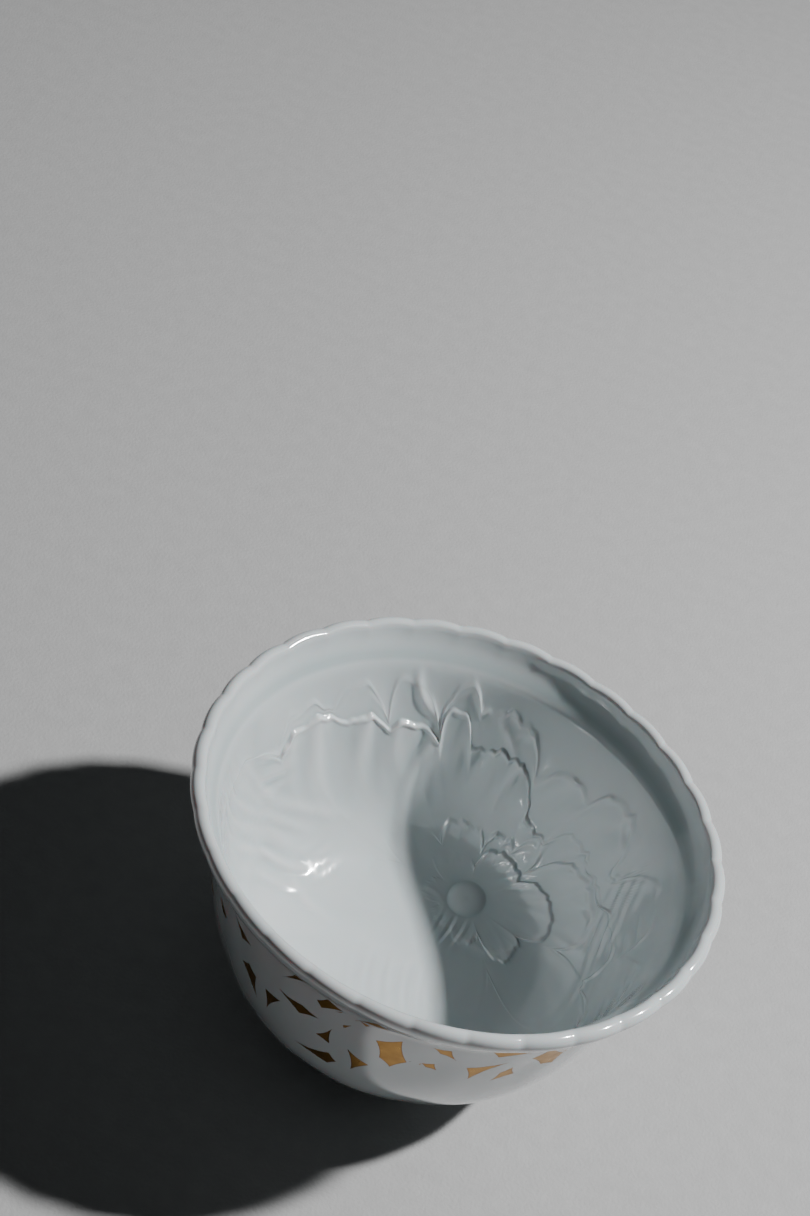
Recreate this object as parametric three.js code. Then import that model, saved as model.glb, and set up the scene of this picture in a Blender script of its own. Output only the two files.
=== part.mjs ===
// A porcelain tea bowl, cast as one body: a rounded wall on a low foot ring, a flared mouth whose edge is
// pressed into scallops, and a blossom in low relief spread over the inside. It is hollow and empty.
// Millimetres, +Z up. The origin is the middle of the foot's underside.
import * as THREE from "three";

// Driving dimensions of the bowl.
const HEIGHT = 55;
const MOUTH_RADIUS = 50;
const EDGE_THICKNESS = 2.9;
const SEAT_RADIUS = 43.6;
const SEAT_DEPTH = 6.9;
const NECK_RADIUS = 44.5;
const NECK_DEPTH = 10;
const FLOOR_HEIGHT = 6.4;
const FOOT_TOP_RADIUS = 20.6;
const FOOT_TOP_HEIGHT = 4.6;
const FOOT_RADIUS = 20;
const FOOT_WIDTH = 2.6;
const RECESS_RADIUS = 16.4;
const RECESS_HEIGHT = 3.4;

// The scalloped edge.
const SCALLOPS = 32;
const FIRST_NOTCH = THREE.MathUtils.degToRad(2.45);
const NOTCH_IN = 0.3;
const NOTCH_DOWN = 0.35;
const SCALLOP_FULLNESS = 0.8;

// How finely the faces are cut.
const STEPS_PER_SCALLOP = 4;
const COLUMNS = SCALLOPS * STEPS_PER_SCALLOP;
const CHANNEL_STEPS = 4;
const EDGE_STEPS = 5;
const FLARE_STEPS = 4;
const WALL_STEPS = 9;

// The blossom. A place on the inside is told by x and y: millimetres along the surface from the middle of
// the floor. Its heart lies up the far side of the floor. Round it lie four whorls of petals, the cup, the
// collar, the middle and the outer whorl. Each petal is [direction in degrees, half width in degrees, reach
// as a share of the way from the heart to the mouth, height as a share of the whorl's lift]. The rings of
// a whorl lie at fractions of the way over its petals.
const HEART = new THREE.Vector2(9, 22.5);
const HEART_RADIUS = 4;
const HEART_LIFT = 1;
const HEART_RING = 0.55;
const HEART_RING_LIFT = 0.83;
const GROOVE_LIFT = 0.2;
const WHORLS = [
  {
    lift: 0.65,
    base: 0.07,
    frill: 0.4,
    step: 0.9,
    fold: 0.05,
    fractions: [0, 0.55, 1],
    petals: [
      [4, 32, 0.32, 0.75], [58, 36, 0.265, 0.8], [-38, 22, 0.21, 0.8], [-75, 28, 0.115, 0.4],
      [-125, 36, 0.085, 0.25], [172, 36, 0.115, 0.25], [122, 34, 0.2, 0.15],
    ],
  },
  {
    lift: 0.4,
    base: 0.2,
    frill: 0.6,
    step: 1.4,
    fold: 0.08,
    fractions: [0, 0.5, 1],
    petals: [
      [7, 31, 0.52, 0.9], [-40, 22, 0.47, 0.35], [110, 26, 0.325, 0.5], [72, 20, 0.335, 0.8],
      [48, 13, 0.4, 0.4], [-82, 24, 0.3, 0.25], [-128, 26, 0.26, 0.2], [-170, 24, 0.28, 0.15],
      [150, 22, 0.32, 0.1],
    ],
  },
  {
    lift: 0.6,
    base: 0.42,
    frill: 0.9,
    step: 0.9,
    fold: 0.26,
    fractions: [0, 0.3, 0.55, 0.8, 1],
    petals: [
      [166, 20, 0.84, 1], [152, 17, 0.79, 1], [134, 17, 0.745, 0.9], [115, 9, 0.82, 0.35],
      [93, 30, 0.69, 0.6], [64, 16, 0.46, 0.5], [27, 24, 0.58, 0.25], [-14, 20, 0.62, 0.35],
      [-50, 22, 0.6, 0.3], [-88, 24, 0.5, 0.35], [-128, 26, 0.52, 0.35], [-163, 22, 0.7, 0.2],
      [196, 26, 0.87, 0.1],
    ],
  },
  {
    lift: 0.45,
    base: 0.68,
    frill: 0.9,
    step: 1.8,
    fold: 0.16,
    fractions: [0, 0.5, 1],
    petals: [
      [94, 26, 0.875, 0.65], [112, 9, 0.95, 0.45], [52, 22, 0.775, 0.7], [28, 20, 0.87, 0.6],
      [-8, 18, 0.88, 0.35], [-40, 22, 0.85, 0.35], [-85, 26, 0.8, 0.4], [-130, 26, 0.82, 0.4],
      [-165, 24, 0.9, 0.2], [132, 12, 0.94, 0.3], [151, 13, 0.93, 0.35], [168, 14, 0.91, 0.3],
    ],
  },
];
const LEAST_WIDTH = 2.4;
const LAST_MARGIN = 0.965;

// Waves round the heart: [waves in a turn, size, start in radians]. A frill's size is in millimetres along
// the surface, and a fold's is a share of its whorl's fold. The folds drift aside on their way inwards.
const FRILL = [[13, 0.3, 0.4], [26, 0.4, 3]];
const FOLDS = [[26, 1, 3.07], [13, 0.5, 1.2]];
const FOLD_TWIST = -0.3;
const UNDERLAP_LIFT = 0.1;
const RISE_POWER = 1.6;

// A curve of the section leaves one end and reaches the other along two handles. Each handle is an offset in
// radius and height: the inside's from the floor straight below the seat, the channel's from the seat, the
// flare's from the mouth's outermost point and from the neck, the wall's from the neck and the foot's top.
// The seat is the crease inside, where the flared mouth meets the wall.
const INSIDE_HANDLES = [[-6.2, 0], [-9.9, 5.8]];
const CHANNEL_HANDLES = [[2, 1.5], [3.3, 3.9]];
const FLARE_HANDLES = [[-0.4, -4.4], [0.7, 2.5]];
const WALL_HANDLES = [[-4.8, -18.3], [19.4, 4.9]];
const EDGE_START = THREE.MathUtils.degToRad(140);
const EDGE_END = THREE.MathUtils.degToRad(-8);

// Curves of the section, each point a radius and a height.
const at = (radius, height) => new THREE.Vector2(radius, height);
const handle = (place, [out, up]) => at(place.x + out, place.y + up);
const seat = at(SEAT_RADIUS, HEIGHT - SEAT_DEPTH);
const belowSeat = at(SEAT_RADIUS, FLOOR_HEIGHT);
const neck = at(NECK_RADIUS, HEIGHT - NECK_DEPTH);
const footTop = at(FOOT_TOP_RADIUS, FOOT_TOP_HEIGHT);
const edgeRadius = EDGE_THICKNESS / 2;
const edgeMiddle = at(MOUTH_RADIUS - edgeRadius, HEIGHT - edgeRadius);

function onEdge(angle) {
  return at(edgeMiddle.x + edgeRadius * Math.cos(angle), edgeMiddle.y + edgeRadius * Math.sin(angle));
}

const insideWall = new THREE.CubicBezierCurve(
  at(0, FLOOR_HEIGHT),
  handle(belowSeat, INSIDE_HANDLES[0]),
  handle(belowSeat, INSIDE_HANDLES[1]),
  seat,
);
const channel = new THREE.CubicBezierCurve(
  seat,
  handle(seat, CHANNEL_HANDLES[0]),
  handle(seat, CHANNEL_HANDLES[1]),
  onEdge(EDGE_START),
);
const flare = new THREE.CubicBezierCurve(
  onEdge(EDGE_END),
  handle(at(MOUTH_RADIUS, HEIGHT), FLARE_HANDLES[0]),
  handle(neck, FLARE_HANDLES[1]),
  neck,
);
const outsideWall = new THREE.CubicBezierCurve(
  neck,
  handle(neck, WALL_HANDLES[0]),
  handle(footTop, WALL_HANDLES[1]),
  footTop,
);
insideWall.arcLengthDivisions = 600;
const INSIDE_LENGTH = insideWall.getLength();

// The azimuth of a column. Every fourth column runs through a notch of the edge.
const azimuthOf = (column) => FIRST_NOTCH + (column / COLUMNS) * 2 * Math.PI;

// A scallop is a full arch between two narrow notches: 0 in the notch and 1 at the middle of the scallop.
function scallopAt(azimuth) {
  const phase = ((azimuth - FIRST_NOTCH) * SCALLOPS) / 2;
  return Math.abs(Math.sin(phase)) ** SCALLOP_FULLNESS;
}

// A point of the section turned to an azimuth, drawn in and down by the notches as far as weight says.
function turned(point, azimuth, weight = 0) {
  const notch = (1 - scallopAt(azimuth)) * weight;
  const radius = point.x - NOTCH_IN * notch;
  const height = point.y - NOTCH_DOWN * notch;
  return new THREE.Vector3(radius * Math.cos(azimuth), radius * Math.sin(azimuth), height);
}

// A point of the inside at x and y along the surface, raised by lift square to the wall.
function insidePoint(x, y, lift) {
  const share = Math.min(Math.hypot(x, y) / INSIDE_LENGTH, 1);
  const point = insideWall.getPointAt(share);
  const along = insideWall.getTangentAt(share);
  return turned(at(point.x - along.y * lift, point.y + along.x * lift), Math.atan2(y, x));
}

// The sum of a list of waves at a direction round the heart.
function waves(list, direction) {
  return list.reduce((sum, [count, size, start]) => sum + size * Math.sin(count * direction + start), 0);
}

// A whorl at a direction: how far its margin reaches, as a share of the way to the mouth, and how high the
// petal there stands. The margin belongs to the furthest of the petals, each a broad arch, and the frill of
// a ragged edge lies on it.
function marginOf(whorl, direction, wayLength) {
  let reach = 0;
  let height = 0;
  for (const [middle, halfWidth, petalReach, petalHeight] of whorl.petals) {
    const turn = Math.abs(direction - THREE.MathUtils.degToRad(middle)) % (2 * Math.PI);
    const aside = Math.min(turn, 2 * Math.PI - turn) / THREE.MathUtils.degToRad(halfWidth);
    const arch = aside < 1 ? petalReach * (1 - aside ** 3) ** (1 / 3) : 0;
    if (arch > reach) {
      reach = arch;
      height = petalHeight;
    }
  }
  const frill = (whorl.frill * waves(FRILL, direction)) / wayLength;
  return { reach: Math.max(reach, whorl.base) + frill, height };
}

// One spoke of the blossom: the way from the heart to the mouth at a column, the margins it crosses and the
// heights of the petals that end there.
function spokeAt(column) {
  const azimuth = azimuthOf(column);
  const mouth = at(INSIDE_LENGTH * Math.cos(azimuth), INSIDE_LENGTH * Math.sin(azimuth));
  const way = mouth.sub(HEART);
  const length = way.length();
  const direction = way.angle();
  let last = HEART_RADIUS / length;
  const margins = [last];
  const heights = [];
  for (const whorl of WHORLS) {
    const { reach, height } = marginOf(whorl, direction, length);
    last = Math.min(Math.max(reach, last + LEAST_WIDTH / length), LAST_MARGIN);
    margins.push(last);
    heights.push(height);
  }
  return { way, length, direction, margins, heights };
}

// A point on a spoke, at a share of the way to the mouth.
function spokePoint(spoke, share, lift) {
  return insidePoint(HEART.x + spoke.way.x * share, HEART.y + spoke.way.y * share, lift);
}

// A point between two margins of a spoke. fraction runs from 0 at the inner margin to 1 at the outer one.
// The petal rises out from under the margin inside it, and its folds deepen towards its own edge.
function petalPoint(column, whorlIndex, fraction) {
  const spoke = spokeAt(column);
  const whorl = WHORLS[whorlIndex];
  const innerStep = WHORLS[Math.max(whorlIndex - 1, 0)].step;
  const from = spoke.margins[whorlIndex] + innerStep / 2 / spoke.length;
  const to = spoke.margins[whorlIndex + 1] - whorl.step / 2 / spoke.length;
  const start = whorlIndex === 0 ? GROOVE_LIFT : UNDERLAP_LIFT;
  const height = spoke.heights[whorlIndex];
  const depth = whorl.fold * height * fraction ** 3 * (4 - 3 * fraction);
  const folds = depth * waves(FOLDS, spoke.direction + FOLD_TWIST * (1 - fraction));
  const lift = start + (whorl.lift * height - start) * fraction ** RISE_POWER + folds;
  return spokePoint(spoke, from + (to - from) * fraction, lift);
}

// A closed ring of points, one for each stride-th column.
function ring(pointAt, stride = 1) {
  return Array.from({ length: COLUMNS / stride }, (_, index) => pointAt(index * stride));
}

// The rings in order: from the heart over the blossom, up the wall, through the channel, over the edge,
// down the outside and under the foot.
function blossomRings() {
  const rings = [ring((column) => {
    const spoke = spokeAt(column);
    return spokePoint(spoke, spoke.margins[0] * HEART_RING, HEART_RING_LIFT);
  }, 2)];
  WHORLS.forEach((whorl, whorlIndex) => {
    const stride = whorlIndex === 0 ? 2 : 1;
    for (const fraction of whorl.fractions) {
      rings.push(ring((column) => petalPoint(column, whorlIndex, fraction), stride));
    }
  });
  const outerStep = WHORLS[WHORLS.length - 1].step;
  rings.push(ring((column) => {
    const spoke = spokeAt(column);
    return spokePoint(spoke, spoke.margins[WHORLS.length] + outerStep / 2 / spoke.length, 0);
  }));
  rings.push(ring((column) => turned(seat, azimuthOf(column))));
  return rings;
}

function mouthRings() {
  const rings = [];
  for (let step = 1; step < CHANNEL_STEPS; step += 1) {
    const share = step / CHANNEL_STEPS;
    rings.push(ring((column) => turned(channel.getPointAt(share), azimuthOf(column), share ** 2)));
  }
  for (let step = 0; step <= EDGE_STEPS; step += 1) {
    const angle = THREE.MathUtils.lerp(EDGE_START, EDGE_END, step / EDGE_STEPS);
    rings.push(ring((column) => turned(onEdge(angle), azimuthOf(column), 1)));
  }
  for (let step = 1; step < FLARE_STEPS; step += 1) {
    const share = step / FLARE_STEPS;
    rings.push(ring((column) => turned(flare.getPointAt(share), azimuthOf(column), (1 - share) ** 2)));
  }
  return rings;
}

function bodyRings() {
  const rings = [];
  for (let step = 0; step <= WALL_STEPS; step += 1) {
    const point = outsideWall.getPointAt(step / WALL_STEPS);
    rings.push(ring((column) => turned(point, azimuthOf(column)), 2));
  }
  const foot = [at(FOOT_RADIUS, 0), at(FOOT_RADIUS - FOOT_WIDTH, 0), at(RECESS_RADIUS, RECESS_HEIGHT)];
  for (const point of foot) {
    rings.push(ring((column) => turned(point, azimuthOf(column)), 2));
  }
  return rings;
}

// Faces between two neighbouring rings. A ring with half the points of the other takes every second one.
function facesBetween(first, second, faces) {
  const corner = (loop, index) => loop.start + (index % loop.count);
  for (let step = 0; step < Math.min(first.count, second.count); step += 1) {
    if (first.count === second.count) {
      faces.push(corner(first, step), corner(first, step + 1), corner(second, step + 1));
      faces.push(corner(first, step), corner(second, step + 1), corner(second, step));
    } else if (first.count < second.count) {
      faces.push(corner(first, step), corner(second, 2 * step + 1), corner(second, 2 * step));
      faces.push(corner(first, step), corner(first, step + 1), corner(second, 2 * step + 1));
      faces.push(corner(first, step + 1), corner(second, 2 * step + 2), corner(second, 2 * step + 1));
    } else {
      faces.push(corner(first, 2 * step), corner(first, 2 * step + 1), corner(second, step));
      faces.push(corner(first, 2 * step + 1), corner(second, step + 1), corner(second, step));
      faces.push(corner(first, 2 * step + 1), corner(first, 2 * step + 2), corner(second, step + 1));
    }
  }
}

// One closed skin over a list of rings, with a point at each end.
function closedSkin(firstPoint, rings, lastPoint) {
  const points = [firstPoint, ...rings.flat(), lastPoint];
  const loops = [];
  let start = 1;
  for (const list of rings) {
    loops.push({ start, count: list.length });
    start += list.length;
  }
  const faces = [];
  const [first] = loops;
  const last = loops[loops.length - 1];
  for (let step = 0; step < first.count; step += 1) {
    faces.push(0, first.start + step, first.start + ((step + 1) % first.count));
  }
  for (let index = 1; index < loops.length; index += 1) {
    facesBetween(loops[index], loops[index - 1], faces);
  }
  for (let step = 0; step < last.count; step += 1) {
    faces.push(points.length - 1, last.start + ((step + 1) % last.count), last.start + step);
  }
  const geometry = new THREE.BufferGeometry();
  geometry.setFromPoints(points);
  geometry.setIndex(faces);
  geometry.computeVertexNormals();
  return geometry;
}

const porcelain = new THREE.MeshStandardMaterial({ color: 0xd6dbdd, roughness: 0.12, metalness: 0 });

const heartTop = insidePoint(HEART.x, HEART.y, HEART_LIFT);
const undersideMiddle = new THREE.Vector3(0, 0, RECESS_HEIGHT);
const skin = closedSkin(heartTop, [...blossomRings(), ...mouthRings(), ...bodyRings()], undersideMiddle);
const bowl = new THREE.Mesh(skin, porcelain);
bowl.name = "tea_bowl";

const group = new THREE.Group();
group.add(bowl);

export default group;
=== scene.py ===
# %% [markdown]
# # A porcelain tea bowl with gold shards
#
# The bowl is one casting of white porcelain: a rounded wall on a low foot ring, a flared mouth pressed
# into scallops, and a blossom in low relief over the inside. Small shards of gold lie flat on the outside.
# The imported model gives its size, its place and its plain solid. This script makes the fine surface.
# Lengths are in millimetres until they go into a mesh, which is in metres.

import bpy
import numpy as np
from mathutils import Matrix, Vector


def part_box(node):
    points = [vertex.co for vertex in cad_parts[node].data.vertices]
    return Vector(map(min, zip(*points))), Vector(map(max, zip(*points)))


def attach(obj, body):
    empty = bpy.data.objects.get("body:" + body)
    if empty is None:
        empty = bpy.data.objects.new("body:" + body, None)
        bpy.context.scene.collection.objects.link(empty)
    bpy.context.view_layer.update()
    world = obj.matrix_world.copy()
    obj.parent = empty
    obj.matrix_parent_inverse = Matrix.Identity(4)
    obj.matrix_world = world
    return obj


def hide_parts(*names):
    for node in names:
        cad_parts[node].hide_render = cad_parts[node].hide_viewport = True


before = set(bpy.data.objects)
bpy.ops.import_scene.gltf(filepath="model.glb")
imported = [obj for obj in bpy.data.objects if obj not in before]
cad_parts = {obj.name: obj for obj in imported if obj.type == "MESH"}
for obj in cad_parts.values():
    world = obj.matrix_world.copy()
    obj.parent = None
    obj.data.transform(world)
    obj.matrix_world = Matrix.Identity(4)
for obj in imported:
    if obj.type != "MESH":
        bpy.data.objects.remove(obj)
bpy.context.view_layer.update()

# %% [markdown]
# ## The camera
#
# The photograph looks down into the bowl, which leans towards the viewer and to the right. The bowl here
# stands on its foot, so the camera takes over the lean: it is turned to see the bowl at the same angle.
# The mouth is a circle that shows as an ellipse, and that ellipse gives the two angles and the distance.

# %% Camera
MM = 0.001
low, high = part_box("tea_bowl")
HEIGHT = high.z / MM
MOUTH_RADIUS = (high.x - low.x) / 2 / MM
LEAN = np.radians(48.25)
ROLL = np.radians(20.4)
MOUTH_ASIDE, MOUTH_UP, MOUTH_AHEAD = 10.75, -36.68, -424.8
LENS = 70


def camera_at_the_photographs_angle():
    """The bowl's axis seen by the camera is (sin lean sin roll, sin lean cos roll, cos lean), its right hand
    side is (cos roll, -sin roll, 0), and its far side is the cross of the two. They are the rows of a
    turn, whose columns are the camera's right, up and back in the bowl's frame."""
    axis = Vector((np.sin(LEAN) * np.sin(ROLL), np.sin(LEAN) * np.cos(ROLL), np.cos(LEAN)))
    side = Vector((np.cos(ROLL), -np.sin(ROLL), 0))
    away = axis.cross(side)
    turn = Matrix((side, away, axis))
    camera = bpy.data.objects.new("camera", bpy.data.cameras.new("camera"))
    bpy.context.scene.collection.objects.link(camera)
    camera.data.lens = LENS
    mouth = Vector((0, 0, HEIGHT * MM))
    seen = Vector((MOUTH_ASIDE, MOUTH_UP, MOUTH_AHEAD)) * MM
    camera.matrix_world = Matrix.Translation(mouth - turn @ seen) @ turn.to_4x4()
    bpy.context.scene.camera = camera
    return camera


camera = camera_at_the_photographs_angle()
print("camera at", tuple(round(c, 4) for c in camera.matrix_world.translation))

# %% [markdown]
# ## The section
#
# A potter throws or moulds such a bowl against a profile. The profile here runs in one line from the middle
# of the floor up the inside, through the hollow channel of the mouth, over the rolled edge, down the outside
# and under the foot. Four smooth curves, an arc and the foot's straight lines carry it, and a running mean
# rounds its corners as glaze does. A place on the skin is then told by two numbers: an azimuth, and a way
# along this line.

# %% Section of the bowl
SEAT_RADIUS, SEAT_DEPTH = 43.6, 6.9
NECK_RADIUS, NECK_DEPTH = 44.5, 10
FLOOR_HEIGHT = 6.4
EDGE_THICKNESS = 2.9
FOOT_TOP_RADIUS, FOOT_TOP_HEIGHT = 20.6, 4.6
FOOT_RADIUS, FOOT_WIDTH = 20, 2.6
RECESS_RADIUS, RECESS_HEIGHT = 16.4, 3.4
CORNER_ROUNDING = 0.28
CREASE_ROUNDING, CREASE_REACH = 1.4, 2.5
SAMPLE = 0.04
CURVE_POINTS = 1500
EDGE_FROM, EDGE_TO, EDGE_POINTS = 140, -8, 200


def bent(start, pull, second_pull, end):
    """A cubic curve: the mean of four points, weighed by (1-t)^3, 3(1-t)^2 t, 3(1-t) t^2 and t^3."""
    t = np.linspace(0, 1, CURVE_POINTS)[:, None]
    weights = (1 - t) ** 3, 3 * (1 - t) ** 2 * t, 3 * (1 - t) * t**2, t**3
    return sum(w * np.array(p, float) for w, p in zip(weights, (start, pull, second_pull, end)))


def length_of(line):
    """The sum of the distances between a line's points."""
    return np.hypot(*np.diff(line, axis=0).T).sum()


edge_radius = EDGE_THICKNESS / 2
edge_middle = np.array([MOUTH_RADIUS - edge_radius, HEIGHT - edge_radius])
edge_turn = np.radians(np.linspace(EDGE_FROM, EDGE_TO, EDGE_POINTS))[:, None]
edge = edge_middle + edge_radius * np.hstack([np.cos(edge_turn), np.sin(edge_turn)])
seat = np.array([SEAT_RADIUS, HEIGHT - SEAT_DEPTH])
neck = np.array([NECK_RADIUS, HEIGHT - NECK_DEPTH])
foot_top = np.array([FOOT_TOP_RADIUS, FOOT_TOP_HEIGHT])

# Two points pull each curve: it leaves its start towards the first, and reaches its end from the second.
inside_pulls = (SEAT_RADIUS - 6.2, FLOOR_HEIGHT), (SEAT_RADIUS - 9.9, FLOOR_HEIGHT + 5.8)
channel_pulls = seat + (2, 1.5), (SEAT_RADIUS + 3.3, HEIGHT - 3)
flare_pulls = (MOUTH_RADIUS - 0.4, HEIGHT - 4.4), (NECK_RADIUS + 0.7, HEIGHT - 7.5)
outside_pulls = neck + (-4.8, -18.3), foot_top + (19.4, 4.9)

inside = bent((0, FLOOR_HEIGHT), *inside_pulls, seat)
channel = bent(seat, *channel_pulls, edge[0])
flare = bent(edge[-1], *flare_pulls, neck)
outside = bent(neck, *outside_pulls, foot_top)
foot = np.array([
    (FOOT_RADIUS, 0), (FOOT_RADIUS - FOOT_WIDTH, 0), (RECESS_RADIUS, RECESS_HEIGHT), (0, RECESS_HEIGHT),
])
parts = [inside, channel, edge, flare, outside, foot]
line = np.vstack(parts)
marks = np.cumsum([length_of(inside)] + [length_of(np.vstack([a[-1], b])) for a, b in zip(parts, parts[1:])])
INSIDE_END, CHANNEL_END, EDGE_END, NECK_AT, WALL_END, SKIN_END = marks
print("marks along the section in mm:", marks.round(2))

# %% Reading the section
along = np.concatenate([[0], np.cumsum(np.hypot(*np.diff(line, axis=0).T))])
kept = np.concatenate([[True], np.diff(along) > 0])
way_table = np.arange(0, SKIN_END, SAMPLE)


def rounded(values, half_width):
    """A running mean, weighed as a bell of this half width. The ends stay where they are."""
    reach = int(4 * half_width / SAMPLE)
    bell = np.exp(-0.5 * (np.arange(-reach, reach + 1) * SAMPLE / half_width) ** 2)
    padded = np.pad(values, reach, mode="reflect", reflect_type="odd")
    return np.convolve(padded, bell / bell.sum(), "valid")


def glazed(values):
    """The section as the glaze leaves it: all corners rounded a little, and the crease under the mouth
    more. A bell of the way from the crease passes from one rounding to the other."""
    near_crease = np.exp(-0.5 * ((way_table - INSIDE_END) / CREASE_REACH) ** 2)
    corners, crease = rounded(values, CORNER_ROUNDING), rounded(values, CREASE_ROUNDING)
    return corners * (1 - near_crease) + crease * near_crease


radius_table = glazed(np.interp(way_table, along[kept], line[kept, 0]))
height_table = glazed(np.interp(way_table, along[kept], line[kept, 1]))
radius_slope, height_slope = np.gradient(radius_table, SAMPLE), np.gradient(height_table, SAMPLE)


def on_section(way):
    """The radius and height at a way along the section, and the direction that points out of the clay
    there: the section's own direction turned by a quarter to the left."""
    radius, height, across, up = (
        np.interp(way, way_table, table) for table in (radius_table, height_table, radius_slope, height_slope)
    )
    size = np.hypot(across, up)
    return radius, height, -up / size, across / size


print("edge of the mouth:", radius_table.max().round(2), "top:", height_table.max().round(2))

# %% [markdown]
# ## The scalloped edge
#
# While the clay is soft, the maker presses the edge in at even steps. Each scallop is then a full arch
# between two narrow notches. The presses draw the edge in and down a little, and fade away through the
# channel on the inside and the flare on the outside.

# %% Scallops
SCALLOPS = 32
FIRST_NOTCH = np.radians(2.45)
NOTCH_IN, NOTCH_DOWN = 0.3, 0.35
SCALLOP_FULLNESS = 0.8


def notch_at(azimuth):
    """1 in a notch and 0 at the middle of a scallop: one less |sin(half the scallops' phase)| to a power."""
    return 1 - np.abs(np.sin((azimuth - FIRST_NOTCH) * SCALLOPS / 2)) ** SCALLOP_FULLNESS


def press_at(way):
    """How far the press reaches: it grows as a square through the channel and fades as one in the flare."""
    coming = np.clip((way - INSIDE_END) / (CHANNEL_END - INSIDE_END), 0, 1) ** 2
    going = np.clip((NECK_AT - way) / (NECK_AT - EDGE_END), 0, 1) ** 2
    return coming * going


def skin(azimuth, way, lift):
    """Points of the skin: the section's point moved out of the clay by lift, drawn in and down where the
    edge is notched, and turned about the upright axis to the azimuth."""
    radius, height, out, up = on_section(way)
    notch = notch_at(azimuth) * press_at(way)
    radius = radius + out * lift - NOTCH_IN * notch
    height = height + up * lift - NOTCH_DOWN * notch
    return np.stack([radius * np.cos(azimuth), radius * np.sin(azimuth), height], axis=-1)


# %% [markdown]
# ## The blossom
#
# The inside carries layered petals with ragged edges, like a peony pressed into the clay. They could be
# sculpted by hand, or laid over a plain bowl as loose leaves. Here the skin itself follows them: straight
# spokes run from the blossom's heart to the mouth, each spoke crosses the margins of four whorls, and the
# rows of the mesh lie along those margins, so that every petal ends in a clear step. The whorls are the cup
# round the heart, the collar, and the middle and outer petals.
#
# A place on the inside is told by x and y, in millimetres along the surface from the middle of the floor.
# A petal is told by the direction of its middle, its half width, how far it reaches as a share of the spoke,
# and its height as a share of its whorl's lift.

# %% Spokes of the blossom
COLUMNS = 512
HEART = np.array([9, 22.5])
HEART_RADIUS = 4
azimuths = FIRST_NOTCH + 2 * np.pi * np.arange(COLUMNS) / COLUMNS
spokes = INSIDE_END * np.stack([np.cos(azimuths), np.sin(azimuths)]) - HEART[:, None]
spoke_length = np.hypot(*spokes)
direction = np.arctan2(spokes[1], spokes[0])
print("spokes from", spoke_length.min().round(1), "to", spoke_length.max().round(1), "mm")

# %% Petals and their margins
CUP = [
    [4, 32, 0.32, 0.75], [58, 36, 0.265, 0.8], [-38, 22, 0.21, 0.8], [-75, 28, 0.115, 0.4],
    [-125, 36, 0.085, 0.25], [172, 36, 0.115, 0.25], [122, 34, 0.2, 0.15],
]
COLLAR = [
    [7, 31, 0.52, 0.9], [-40, 22, 0.47, 0.35], [110, 26, 0.325, 0.5], [72, 20, 0.335, 0.8],
    [48, 13, 0.4, 0.4], [-82, 24, 0.3, 0.25], [-128, 26, 0.26, 0.2], [-170, 24, 0.28, 0.15],
    [150, 22, 0.32, 0.1],
]
MIDDLE_PETALS = [
    [166, 20, 0.84, 1], [152, 17, 0.79, 1], [134, 17, 0.745, 0.9], [115, 9, 0.82, 0.35],
    [93, 30, 0.69, 0.6], [64, 16, 0.46, 0.5], [27, 24, 0.58, 0.25], [-14, 20, 0.62, 0.35],
    [-50, 22, 0.6, 0.3], [-88, 24, 0.5, 0.35], [-128, 26, 0.52, 0.35], [-163, 22, 0.7, 0.2],
    [196, 26, 0.87, 0.1],
]
OUTER_PETALS = [
    [94, 26, 0.875, 0.65], [112, 9, 0.95, 0.45], [52, 22, 0.775, 0.7], [28, 20, 0.87, 0.6],
    [-8, 18, 0.88, 0.35], [-40, 22, 0.85, 0.35], [-85, 26, 0.8, 0.4], [-130, 26, 0.82, 0.4],
    [-165, 24, 0.9, 0.2], [132, 12, 0.94, 0.3], [151, 13, 0.93, 0.35], [168, 14, 0.91, 0.3],
]
WHORL_PARTS = "petals", "base", "frill", "lift", "step", "bead", "fold", "rows"
WHORLS = [dict(zip(WHORL_PARTS, whorl)) for whorl in (
    (CUP, 0.07, 0.4, 0.65, 0.9, 0.05, 0.05, 16),
    (COLLAR, 0.2, 0.6, 0.4, 1.4, 0.05, 0.08, 16),
    (MIDDLE_PETALS, 0.42, 0.9, 0.6, 0.9, 0.3, 0.26, 36),
    (OUTER_PETALS, 0.68, 0.9, 0.45, 1.8, 0.1, 0.16, 24),
)]
FRILL = [[13, 0.3, 0.4], [26, 0.4, 3.0], [41, 0.3, 4.1]]
FINE_FRILL = [[59, 0.18, 0.9], [83, 0.12, 3.3], [109, 0.07, 5.2]]
FRILL_SWING, FRILL_PATCHES = 0.7, 5
LEAST_WIDTH = 2.4
LAST_MARGIN = 0.965


def waves(sizes, angle):
    """The sum over [count, size, start] of size times the sine of count times the angle plus start."""
    return sum(size * np.sin(count * angle + start) for count, size, start in sizes)


def smooth_round(values, half_width):
    """A bell-shaped running mean round the whole circle, so that a jump becomes a soft slope."""
    steps = np.arange(COLUMNS) - COLUMNS // 2
    bell = np.exp(-0.5 * (steps / half_width) ** 2)
    bell = np.fft.rfft(np.roll(bell / bell.sum(), -(COLUMNS // 2)))
    return np.fft.irfft(np.fft.rfft(values) * bell, COLUMNS)


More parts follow.
